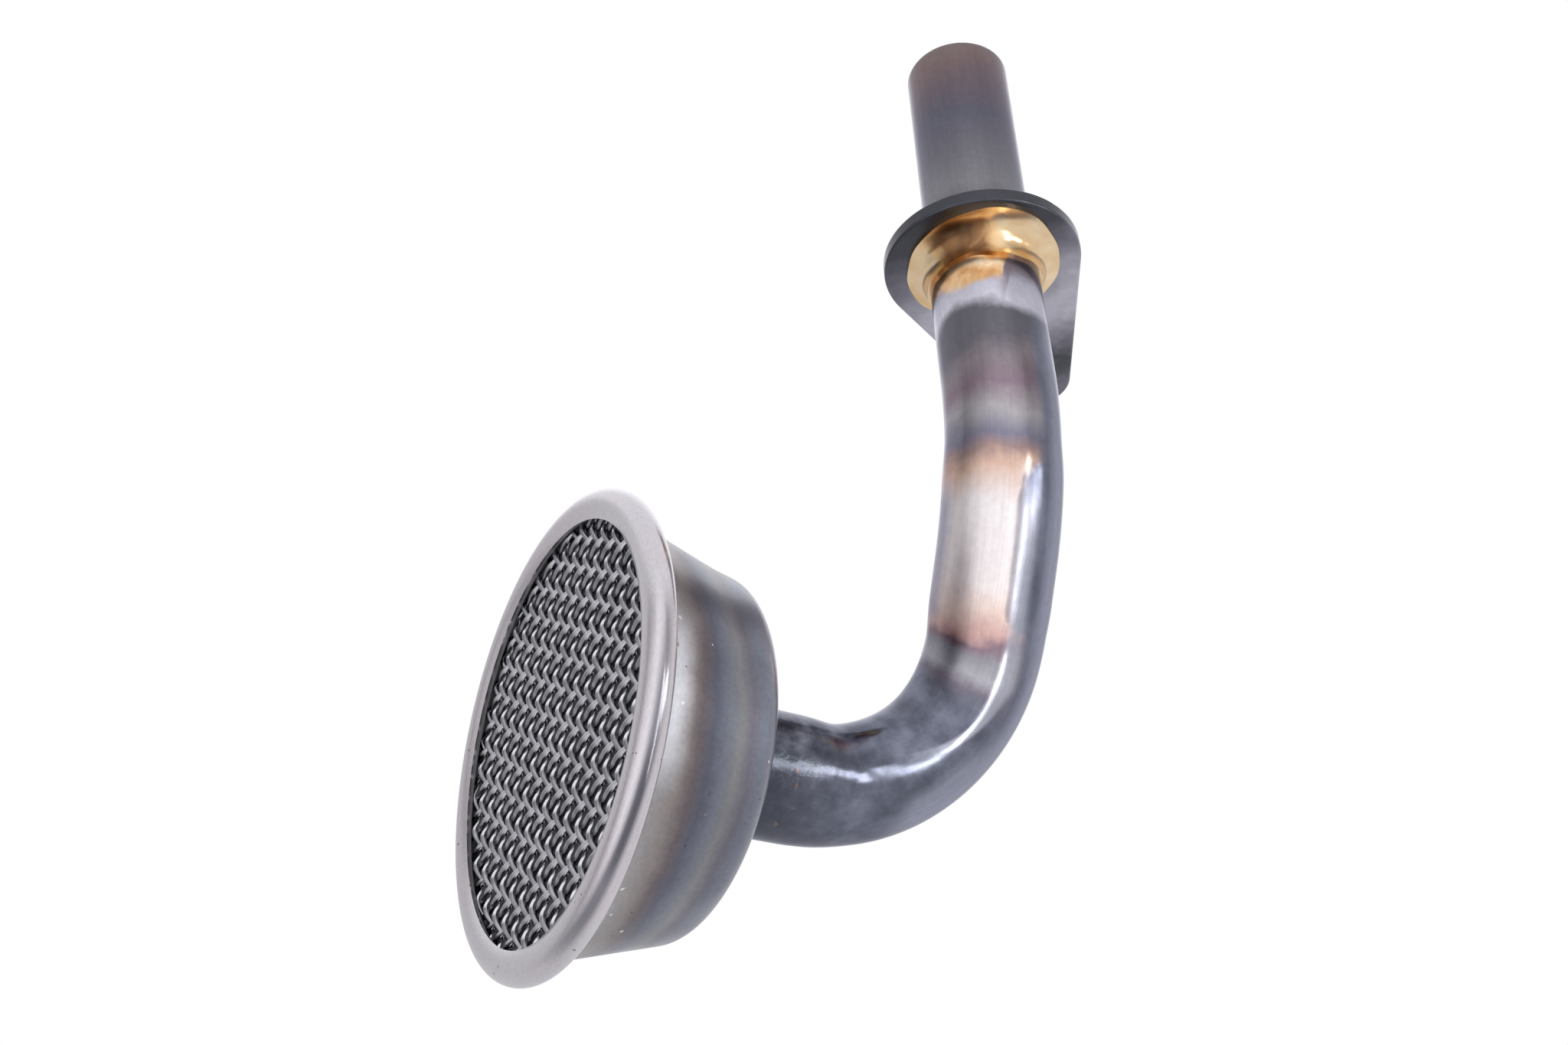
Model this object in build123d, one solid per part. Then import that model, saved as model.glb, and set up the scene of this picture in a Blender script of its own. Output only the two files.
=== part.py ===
"""Oil pick-up pipe with a round strainer, for the sump of an engine.

The pipe's spigot pushes into the oil pump along +Y and its flange seats against the pump. The pipe runs back from
there, turns sideways and then down, and ends in the back of a drawn cup. The cup's rim is rolled over the edge of a
woven wire cloth that faces the floor of the sump.

Frame: origin on the spigot's axis in the flange's seat face, +Y out along the spigot, +Z up. Lengths are in
millimetres and angles in degrees.
"""

import os
from math import atan2, cos, hypot, radians, sin

from build123d import *

# Tube. The spigot is sized down by the step, taken on the radius, so that it slides into the pump
tube_outer_diameter = 18.0
tube_wall = 1.5
spigot_step = 0.25
spigot_length = 42.5
spigot_end_round = 1.0
side_bend_radius = 46.6
down_bend_radius = 24.2

# Route of the tube's centre line, from the spigot's axis to the cup
side_bend_back = 41.8
riser_top_height = 7.7
cup_side_offset = 32.1
cup_back_offset = 85.2
cup_drop = 59.5
tube_end_inside_cup = 1.0

# Drawn cup with its rolled rim, heights measured from the middle of the rim
sheet_thickness = 1.0
rim_outer_diameter = 69.1
rim_height = 4.3
lip_width = 4.7
lip_edge_height = 1.46
shelf_width = 3.3
wall_taper = 5.45
cup_depth = 21.6
back_corner_radius = 3.9
foot_corner_radius = 0.5

# Disc of woven wire cloth, as a wall with a ridge for each wire and a gap in every other opening
mesh_edge_clearance = 0.2
mesh_web_thickness = 0.5
wire_diameter = 0.7
wire_spacing = 3.1
wire_direction = 77.5
gap_edge_margin = 1.2

# Flange
flange_thickness = 2.5
flange_round_diameter = 32.4
lug_reach = 33.3
lug_angle = 49.5
lug_radius = 7.1
bolt_hole_diameter = 6.6
flange_edge_round = 0.4

# Brazed joints
flange_braze_width = 3.9
flange_braze_length = 5.0
flange_braze_bead = 0.5
cup_braze_width = 1.8
cup_braze_bead = 0.2
braze_hollow_share = 0.28

# Sizes that follow from those above
tube_radius = tube_outer_diameter / 2
bore_radius = tube_radius - tube_wall
spigot_radius = tube_radius - spigot_step
rim_radius = rim_outer_diameter / 2
rim_half = rim_height / 2
hem_centre = rim_radius - rim_half
opening_radius = rim_radius - lip_width
cup_mouth_radius = rim_radius - shelf_width
cup_back_radius = cup_mouth_radius - wall_taper
cup_top = cup_depth - cup_drop
cup_axis = Location((cup_side_offset, -cup_back_offset, -cup_drop))


def turned(outline):
    """A closed outline of radii and heights, turned about Z."""
    return revolve(Plane.XZ * make_face(outline), axis=Axis.Z)


def strainer_cup():
    """One sheet: flat back with the tube's hole, tapered wall, shelf, hem and lip, of one thickness throughout."""
    skin = FilletPolyline(
        (tube_radius, cup_depth),
        (cup_back_radius, cup_depth),
        (cup_mouth_radius, rim_half),
        (hem_centre, rim_half),
        radius=[back_corner_radius, foot_corner_radius],
    )
    hem = CenterArc((hem_centre, 0), rim_half, 90, -180)
    lip = TangentArc(hem @ 1, (opening_radius, -lip_edge_height), tangent=hem % 1)
    outer_line = Wire([*skin.edges(), hem, lip])
    sections = [offset(outer_line, amount=sheet_thickness, side=side) for side in (Side.LEFT, Side.RIGHT)]
    inner_section = min(sections, key=lambda section: section.bounding_box().max.Y)
    return cup_axis * turned(inner_section.edges())


def lip_inner_height():
    """Height of the lip's inner edge, where the lip presses on the mesh."""
    reach = hem_centre - opening_radius
    rise = rim_half - lip_edge_height
    lip_turn = 2 * atan2(rise, reach)
    return -lip_edge_height + sheet_thickness * cos(lip_turn)


def wire_ridges(radius):
    """Parallel strips along X, one for each wire that crosses a disc of that radius."""
    count = int(radius / wire_spacing)
    strips = [Pos(0, row * wire_spacing) * Rectangle(2 * radius, wire_diameter) for row in range(-count, count + 1)]
    return (Sketch() + strips) & Circle(radius)


def gap_places():
    """Middles of every other opening between the wires, where the whole opening lies inside the rolled rim."""
    gap_width = wire_spacing - wire_diameter
    limit = opening_radius - gap_edge_margin
    count = int(opening_radius / wire_spacing) + 1
    middles = [((column + 0.5) * wire_spacing, (row + 0.5) * wire_spacing)
               for column in range(-count, count) for row in range(-count, count) if (column + row) % 2 == 0]
    return [(x, y) for x, y in middles if hypot(abs(x) + gap_width / 2, abs(y) + gap_width / 2) < limit]


def strainer_mesh():
    """Wall with square gaps, the ridges of one set of wires in front and of the other behind, and a full edge."""
    shelf_height = rim_half - sheet_thickness
    front_height = lip_inner_height()
    half_thickness = (shelf_height - front_height) / 2
    middle = (shelf_height + front_height) / 2
    mesh_radius = hem_centre - mesh_edge_clearance
    middle_plane = Plane(cup_axis * Pos(0, 0, middle) * Rot(0, 0, wire_direction))
    gap_width = wire_spacing - wire_diameter
    gaps = Sketch() + [Pos(x, y) * Rectangle(gap_width, gap_width) for x, y in gap_places()]
    ridges = wire_ridges(opening_radius)
    edge = Circle(mesh_radius) - Circle(opening_radius)
    web = extrude(middle_plane * (Circle(mesh_radius) - gaps), mesh_web_thickness / 2, both=True)
    behind = extrude(middle_plane * Rot(0, 0, 90) * ridges, half_thickness)
    in_front = extrude(middle_plane * ridges, -half_thickness)
    return web + behind + in_front + extrude(middle_plane * edge, half_thickness, both=True)


def suction_tube():
    """One tube: up out of the cup, over to the spigot's line, and out along it, its spigot sized down a little."""
    tube_start = cup_top - sheet_thickness - tube_end_inside_cup
    route = FilletPolyline(
        (cup_side_offset, -cup_back_offset, tube_start),
        (cup_side_offset, -cup_back_offset, riser_top_height),
        (0, -side_bend_back, 0),
        (0, spigot_length, 0),
        radius=[down_bend_radius, side_bend_radius],
    )
    ring = Circle(tube_radius) - Circle(bore_radius)
    tube = sweep(Plane(origin=route @ 0, z_dir=route % 0) * ring, path=route)
    tube -= extrude(Plane(origin=(0, 0, 0), z_dir=(0, 1, 0)) * (Circle(2 * tube_radius) - Circle(spigot_radius)),
                    spigot_length)
    end_edges = tube.edges().filter_by(GeomType.CIRCLE).group_by(Axis.Y)[-1]
    return fillet(end_edges.sort_by(SortBy.RADIUS)[-1], spigot_end_round)


def mounting_flange():
    """Stamped teardrop plate: a round about the tube, drawn out by straight sides to a lug with a bolt hole."""
    lug_place = Pos(lug_reach * cos(radians(lug_angle)), lug_reach * sin(radians(lug_angle)))
    outline = make_hull([
        *Circle(flange_round_diameter / 2).edges(),
        *(lug_place * Circle(lug_radius)).edges(),
    ])
    plate = outline - Circle(tube_radius) - lug_place * Circle(bolt_hole_diameter / 2)
    seat_plane = Plane(origin=(0, 0, 0), x_dir=(1, 0, 0), z_dir=(0, -1, 0))
    body = extrude(seat_plane * plate, flange_thickness)
    rims = [edge for face in body.faces().filter_by(Axis.Y) for edge in face.outer_wire().edges()]
    return fillet(rims, flange_edge_round)


def braze_ring(width, length, bead):
    """Hollow-faced fillet of braze on the plane Z = 0, round a tube along Z."""
    foot, top = (tube_radius + width, bead), (tube_radius + bead, length)
    hollow = min(width, length) * braze_hollow_share
    middle = ((foot[0] + top[0]) / 2 - hollow, (foot[1] + top[1]) / 2 - hollow)
    outline = [
        Line((tube_radius, 0), (foot[0], 0)),
        Line((foot[0], 0), foot),
        ThreePointArc(foot, middle, top),
        Line(top, (tube_radius, length)),
        Line((tube_radius, length), (tube_radius, 0)),
    ]
    return turned(outline)


def flange_braze():
    """Brass between the tube and the flange's outer face."""
    face = Plane(origin=(0, -flange_thickness, 0), x_dir=(1, 0, 0), z_dir=(0, -1, 0))
    return face.location * braze_ring(flange_braze_width, flange_braze_length, flange_braze_bead)


def cup_braze():
    """Brass between the tube and the cup's back."""
    return cup_axis * Pos(0, 0, cup_depth) * braze_ring(cup_braze_width, cup_braze_width, cup_braze_bead)


parts = {
    "strainer_cup": strainer_cup,
    "strainer_mesh": strainer_mesh,
    "suction_tube": suction_tube,
    "mounting_flange": mounting_flange,
    "flange_braze": flange_braze,
    "cup_braze": cup_braze,
}

os.makedirs("parts", exist_ok=True)
for name, make in parts.items():
    export_step(make(), f"parts/{name}.step")
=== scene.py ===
"""Looks of an oil pick-up pipe: strainer cup, woven wire cloth, heat-tinted tube, mounting plate and brass.

The frame is that of the solids: origin on the spigot's axis in the flange's seat face, +Y out along the
spigot, +Z up. Sizes in the classes are in millimetres, and a mesh is scaled to metres on its way into
Blender.
"""

import logging
from dataclasses import dataclass, field
from enum import Enum
from functools import reduce
from math import cos, pi, radians, sin

import bpy
import numpy as np
from mathutils import Matrix, Vector


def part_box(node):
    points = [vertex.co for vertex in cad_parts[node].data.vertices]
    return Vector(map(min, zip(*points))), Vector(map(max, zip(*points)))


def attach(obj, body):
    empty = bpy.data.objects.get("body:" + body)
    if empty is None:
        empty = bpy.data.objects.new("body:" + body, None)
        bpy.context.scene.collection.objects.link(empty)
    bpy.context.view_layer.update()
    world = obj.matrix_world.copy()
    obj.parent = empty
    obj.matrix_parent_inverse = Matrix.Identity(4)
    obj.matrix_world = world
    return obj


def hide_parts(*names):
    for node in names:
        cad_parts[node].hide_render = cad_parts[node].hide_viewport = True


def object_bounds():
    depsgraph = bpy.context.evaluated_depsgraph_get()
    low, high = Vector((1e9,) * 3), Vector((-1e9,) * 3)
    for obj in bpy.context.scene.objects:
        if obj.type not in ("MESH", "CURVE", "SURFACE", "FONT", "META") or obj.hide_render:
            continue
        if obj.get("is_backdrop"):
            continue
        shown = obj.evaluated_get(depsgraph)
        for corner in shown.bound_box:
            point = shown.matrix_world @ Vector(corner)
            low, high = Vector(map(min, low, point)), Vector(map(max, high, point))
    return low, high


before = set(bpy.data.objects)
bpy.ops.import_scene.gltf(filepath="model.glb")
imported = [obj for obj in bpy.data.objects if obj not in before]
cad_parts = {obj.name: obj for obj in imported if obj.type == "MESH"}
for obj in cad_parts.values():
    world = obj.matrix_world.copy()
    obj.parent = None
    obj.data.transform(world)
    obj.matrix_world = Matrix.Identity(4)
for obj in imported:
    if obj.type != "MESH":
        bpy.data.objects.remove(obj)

log = logging.getLogger("pickup_pipe")

MM = 0.001
PER_METRE = 1000.0
SHARP_ANGLE = radians(38)

Array = np.ndarray
Pair = tuple[float, float]
Triple = tuple[float, float, float]
Tone = tuple[float, float, float, float]
Bands = tuple[tuple[float, str], ...]
# A window rises to one over its first span and falls to nought over its second
Window = tuple[Pair, Pair]
# A change carries the span of its first two numbers to its last two
Change = tuple[float, float, float, float]
Material = bpy.types.Material
Piece = bpy.types.Object
Socket = bpy.types.NodeSocket
Value = float | Socket
Paint = Socket | Tone | str
Inputs = dict[int | str, Value | Paint | Vector]

WHITE: Tone = (1.0, 1.0, 1.0, 1.0)
FILM_INDEX = 1.5
NOISE_MIDDLE = 0.5
UPWARDS = np.array([0.0, 0.0, 1.0])


def tone(hex_code: str) -> Tone:
    """Turn a screen colour into the linear light that a shader takes, by the rule of sRGB.

    Args:
        hex_code: Six hex digits of red, green and blue.

    Returns:
        Linear red, green, blue and an alpha of one.
    """
    channels = np.array([int(hex_code[i:i + 2], 16) for i in (0, 2, 4)]) / 255
    linear = np.where(channels <= 0.04045, channels / 12.92, ((channels + 0.055) / 1.055) ** 2.4)
    return (float(linear[0]), float(linear[1]), float(linear[2]), 1.0)


def in_mm(box: tuple[Vector, Vector]) -> tuple[Array, Array]:
    """The low and the high corner of a box that is given in metres."""
    low, high = (np.array(corner) * PER_METRE for corner in box)
    return low, high


def smooth_step(value: Array, low: float, high: float) -> Array:
    """Rise from nought to one between two values, as 3t^2 - 2t^3 of the share t that is passed."""
    share = np.clip((value - low) / (high - low), 0, 1)
    return share * share * (3 - 2 * share)


def plateau(value: Array, rise: Pair, fall: Pair) -> Array:
    """Rise to one over the first span and fall to nought over the second, both as smooth steps."""
    return smooth_step(value, *rise) * (1 - smooth_step(value, *fall))


def bell(distance: Array, spread: float) -> Array:
    """A hump of height one, as exp of minus the square of the distance in spreads."""
    return np.exp(-((distance / spread) ** 2))


def apart(turn: Array, middle: float) -> Array:
    """How far an angle lies from a middle, the short way round, in radians."""
    return (turn - middle + pi) % (2 * pi) - pi


def full_turn(columns: int) -> Array:
    """Even angles once round, without the last, which is the first again."""
    return np.linspace(0, 2 * pi, columns, endpoint=False)


def unit(vectors: Array) -> Array:
    """Vectors over their own lengths, taken along the last axis."""
    return vectors / np.linalg.norm(vectors, axis=-1, keepdims=True)


def ring_quads(rows: int, columns: int, closed: bool) -> Array:
    """Join a grid of rings with quads, each with two neighbours of a ring and the same two of the next ring.

    Args:
        rows: How many rings there are.
        columns: How many points a ring has.
        closed: Whether the last ring joins the first.

    Returns:
        Four point numbers for each quad.
    """
    row = np.arange(rows if closed else rows - 1)[:, None]
    column = np.arange(columns)[None, :]
    next_row, next_column = (row + 1) % rows, (column + 1) % columns
    corners = [row * columns + column, next_row * columns + column,
               next_row * columns + next_column, row * columns + next_column]
    return np.stack(corners, axis=-1).reshape(-1, 4)


def arc_points(centre: Pair, radius: float, start: float, end: float, count: int) -> Array:
    """Points of an arc, its angles in degrees, as centre + radius (cos, sin) at even steps."""
    angles = np.radians(np.linspace(start, end, count))
    return np.stack([centre[0] + radius * np.cos(angles), centre[1] + radius * np.sin(angles)], axis=1)


def rounded_corner(before: Pair, corner: Pair, after: Pair, radius: float, count: int) -> Array:
    """Points of the arc that rounds a corner of an outline.

    The arc's middle lies on the corner's bisector, and the arc runs between the two feet of its radii.

    Args:
        before: The outline's point before the corner.
        corner: The corner.
        after: The point after it.
        radius: The arc's radius.
        count: How many points it gets.

    Returns:
        The arc's points, from the first side to the second.
    """
    at = np.array(corner)
    to_before, to_after = unit(np.array(before) - at), unit(np.array(after) - at)
    half = np.arccos(np.clip(to_before @ to_after, -1, 1)) / 2
    middle = at + unit(to_before + to_after) * radius / np.sin(half)
    first = at + to_before * radius / np.tan(half) - middle
    last = at + to_after * radius / np.tan(half) - middle
    start, end = np.arctan2(first[1], first[0]), np.arctan2(last[1], last[0])
    angles = start + apart(end, start) * np.linspace(0, 1, count)
    return middle + radius * np.stack([np.cos(angles), np.sin(angles)], axis=1)


def straight_points(start: Array, end: Array, count: int) -> Array:
    """Points between two ends of an outline, without the ends themselves."""
    share = np.linspace(0, 1, count + 2)[1:-1, None]
    return start * (1 - share) + end * share


@dataclass
class Surface:
    """Points and faces of a closed piece in millimetres, with the values that its finish reads at a point."""

    points: Array
    faces: list[Array]
    fields: dict[str, Array] = field(default_factory=dict)

    def volume(self) -> float:
        """Volume inside the faces, a sum of the pyramids from the origin to each face's triangles.

        Returns:
            Cubic millimetres, below nought where the faces look inwards.
        """
        total = 0.0
        for block in self.faces:
            first = self.points[block[:, 0]]
            for corner in range(1, block.shape[1] - 1):
                cross = np.cross(self.points[block[:, corner]], self.points[block[:, corner + 1]])
                total += float(np.sum(first * cross)) / 6
        return total

    def into_blender(self, name: str, finish: Material) -> Piece:
        """Make the mesh object, its faces outwards and its place in its mesh.

        Args:
            name: The object's name.
            finish: Its material.

        Returns:
            The new object, linked to the scene.
        """
        blocks = self.faces if self.volume() > 0 else [block[:, ::-1] for block in self.faces]
        corners = np.concatenate([block.ravel() for block in blocks])
        counts = np.concatenate([np.full(len(block), block.shape[1]) for block in blocks])
        starts = np.concatenate([[0], np.cumsum(counts)[:-1]])
        mesh = bpy.data.meshes.new(name)
        mesh.vertices.add(len(self.points))
        mesh.vertices.foreach_set("co", (self.points * MM).astype(np.float32).ravel())
        mesh.loops.add(len(corners))
        mesh.loops.foreach_set("vertex_index", corners.astype(np.int32))
        mesh.polygons.add(len(counts))
        mesh.polygons.foreach_set("loop_start", starts.astype(np.int32))
        mesh.polygons.foreach_set("use_smooth", np.ones(len(counts), dtype=bool))
        for key, values in self.fields.items():
            kind, part = ("FLOAT_VECTOR", "vector") if values.ndim == 2 else ("FLOAT", "value")
            layer = mesh.attributes.new(key, kind, "POINT")
            layer.data.foreach_set(part, values.astype(np.float32).ravel())
        mesh.update(calc_edges=True)
        mesh.validate()
        mesh.set_sharp_from_angle(angle=SHARP_ANGLE)
        mesh.materials.append(finish)
        piece = bpy.data.objects.new(name, mesh)
        bpy.context.scene.collection.objects.link(piece)
        return piece


class Blend(Enum):
    """Ways to lay one colour over another."""

    OVER = "MIX"
    TIMES = "MULTIPLY"


@dataclass(frozen=True)
class Grain:
    """A cloudy noise: patches of about one over the scale, and their detail, roughness and twist."""

    scale: float
    detail: float = 3.0
    rough: float = 0.5
    twist: float = 0.0


@dataclass(frozen=True)
class Coat:
    """A screen colour to be laid over another one, and the share of it that covers."""

    tone: str
    share: float = 1.0


class Nodes:
    """A node tree, with short ways to add the nodes that the finishes and the surroundings share."""

    def __init__(self, tree: bpy.types.NodeTree) -> None:
        """Start with the tree emptied."""
        self.tree = tree
        tree.nodes.clear()

    def put(self, target: Socket, value: Value | Paint | Vector) -> None:
        """Join a socket to the target, or set a plain value or a screen colour on it.

        Args:
            target: The input to serve.
            value: What it takes.
        """
        if isinstance(value, Socket):
            self.tree.links.new(value, target)
        else:
            target.default_value = tone(value) if isinstance(value, str) else value

    def node(self, kind: str, inputs: Inputs, **settings: str) -> bpy.types.Node:
        """Add a node.

        Args:
            kind: Its type in Blender.
            inputs: What its inputs take, by name or number.
            settings: Its own options.

        Returns:
            The new node.
        """
        node = self.tree.nodes.new(kind)
        for key, setting in settings.items():
            setattr(node, key, setting)
        for key, value in inputs.items():
            self.put(node.inputs[key], value)
        return node

    def math(self, operation: str, *values: Value) -> Socket:
        """Work out one value from up to three."""
        return self.node("ShaderNodeMath", dict(enumerate(values)), operation=operation).outputs[0]

    def times(self, *factors: Value) -> Socket:
        """The product of two or more values."""
        return reduce(lambda product, factor: self.math("MULTIPLY", product, factor), factors)

    def added(self, base: Value, share: Value, amount: Value) -> Socket:
        """A base plus a share of an amount."""
        return self.math("MULTIPLY_ADD", share, amount, base)

    def wander(self, base: Value, noise: Socket, amount: float) -> Socket:
        """A base moved to and fro, as base + amount (noise - its middle)."""
        return self.added(base, self.math("SUBTRACT", noise, NOISE_MIDDLE), amount)

    def span(self, value: Value, low: Value, high: Value, to_low: Value = 0, to_high: Value = 1) -> Socket:
        """Carry a value smoothly from one span to another, held at both ends."""
        inputs = {"Value": value, "From Min": low, "From Max": high, "To Min": to_low, "To Max": to_high}
        return self.node("ShaderNodeMapRange", inputs, interpolation_type="SMOOTHSTEP").outputs[0]

    def window(self, value: Value, rise: Pair, fall: Pair) -> Socket:
        """Rise to one over the first span, and fall to nought over the second."""
        return self.times(self.span(value, *rise), self.span(value, *fall))

    def stripe(self, value: Value, line: Value, edge: Value, core: float) -> Socket:
        """How near a value is to a line: one within the core, and nought beyond the edge."""
        return self.span(self.math("ABSOLUTE", self.math("SUBTRACT", value, line)), edge, core)


class Shader(Nodes):
    """A metal's material, with the ways to colour it."""

    def __init__(self, name: str) -> None:
        """Start a material with one metal shader on its output.

        Args:
            name: The material's name.
        """
        self.material = bpy.data.materials.new(name)
        self.material.use_nodes = True
        super().__init__(self.material.node_tree)
        self.metal = self.node("ShaderNodeBsdfPrincipled", {})
        self.output = self.node("ShaderNodeOutputMaterial", {"Surface": self.metal.outputs["BSDF"]})

    def field(self, name: str) -> tuple[Socket, Socket]:
        """A value that the mesh carries, as a vector and as a number."""
        node = self.node("ShaderNodeAttribute", {}, attribute_name=name)
        return node.outputs["Vector"], node.outputs["Fac"]

    def place(self) -> Socket:
        """The object's own coordinates, in metres."""
        return self.node("ShaderNodeTexCoord", {}).outputs["Object"]

    def parts(self, vector: Socket) -> tuple[Socket, Socket, Socket]:
        """The three numbers of a vector."""
        x, y, z = self.node("ShaderNodeSeparateXYZ", {0: vector}).outputs
        return x, y, z

    def joined(self, *numbers: Value) -> Socket:
        """A vector of three numbers."""
        return self.node("ShaderNodeCombineXYZ", dict(enumerate(numbers))).outputs[0]

    def towards(self, first: Value, second: Value, angle: float) -> Socket:
        """How far a point lies towards an angle, as first cos a + second sin a."""
        return self.math("ADD", self.times(first, cos(angle)), self.times(second, sin(angle)))

    def noise(self, vector: Socket, grain: Grain, stretch: Triple | None = None) -> Socket:
        """Cloudy noise from nought to one.

        Args:
            vector: What it follows.
            grain: Its size and character.
            stretch: How the vector is stretched first, which draws the noise out into lines.

        Returns:
            The noise.
        """
        if stretch is not None:
            sides = {0: vector, 1: stretch}
            vector = self.node("ShaderNodeVectorMath", sides, operation="MULTIPLY").outputs[0]
        inputs = {"Vector": vector, "Scale": grain.scale, "Detail": grain.detail, "Roughness": grain.rough,
                  "Distortion": grain.twist}
        return self.node("ShaderNodeTexNoise", inputs).outputs[0]

    def clouded(self, noise: Socket, low: float, high: float, reach: float = 0.2) -> Socket:
        """Carry the middle reach of a noise, where nearly all of it lies, to a low and a high value."""
        return self.span(noise, NOISE_MIDDLE - reach, NOISE_MIDDLE + reach, low, high)

    def bands(self, value: Value, stops: Bands) -> Socket:
        """Colours by a value.

        Args:
            value: What the bands follow.
            stops: Value and screen colour of each stop, in order.

        Returns:
            The colour at the value.
        """
        low, high = stops[0][0], stops[-1][0]
        spread = self.node("ShaderNodeMapRange", {"Value": value, "From Min": low, "From Max": high})
        ramp = self.node("ShaderNodeValToRGB", {"Fac": spread.outputs[0]})
        elements = ramp.color_ramp.elements
        elements[0].position, elements[0].color = 0.0, tone(stops[0][1])
        elements[1].position, elements[1].color = 1.0, tone(stops[-1][1])
        for place, colour in stops[1:-1]:
            elements.new((place - low) / (high - low)).color = tone(colour)
        return ramp.outputs["Color"]

    def laid(self, share: Value, under: Paint, over: Paint, blend: Blend = Blend.OVER) -> Socket:
        """One colour laid over another by a share."""
        inputs = {0: share, 6: under, 7: over}
        return self.node("ShaderNodeMix", inputs, data_type="RGBA", blend_type=blend.value).outputs[2]

    def coated(self, colour: Paint, where: Value, coat: Coat) -> Socket:
        """A colour with a coat over it where the coat lies."""
        return self.laid(self.times(where, coat.share), colour, coat.tone)

    def mottled(self, colour: Paint, noise: Socket, low: float, high: float, reach: float = 0.2) -> Socket:
        """A colour made darker and lighter by a noise, between a low and a high level."""
        level = self.clouded(noise, low, high, reach)
        return self.laid(1.0, colour, self.joined(level, level, level), Blend.TIMES)

    def relief(self, height: Socket, depth_mm: float, under: Socket | None = None) -> Socket:
        """A bumped normal whose relief is that deep, laid over another one if it is given."""
        inputs = {"Distance": depth_mm * MM, "Strength": 1.0, "Height": height}
        return self.node("ShaderNodeBump", inputs if under is None else inputs | {"Normal": under}).outputs[0]

    def finish(self, colour: Paint, roughness: Value, normal: Socket, film: Pair | None = None) -> Material:
        """Join everything to the metal, and hand the material over.

        Args:
            colour: Colour of the metal.
            roughness: Its roughness.
            normal: Its relief.
            film: Weight and roughness of a clear skin of oxide and oil over it.

        Returns:
            The finished material.
        """
        inputs = {"Metallic": 1.0, "Base Color": colour, "Roughness": roughness, "Normal": normal}
        if film is not None:
            inputs |= {"Coat Weight": film[0], "Coat Roughness": film[1], "Coat IOR": FILM_INDEX}
        for key, value in inputs.items():
            self.put(self.metal.inputs[key], value)
        return self.material


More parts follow.
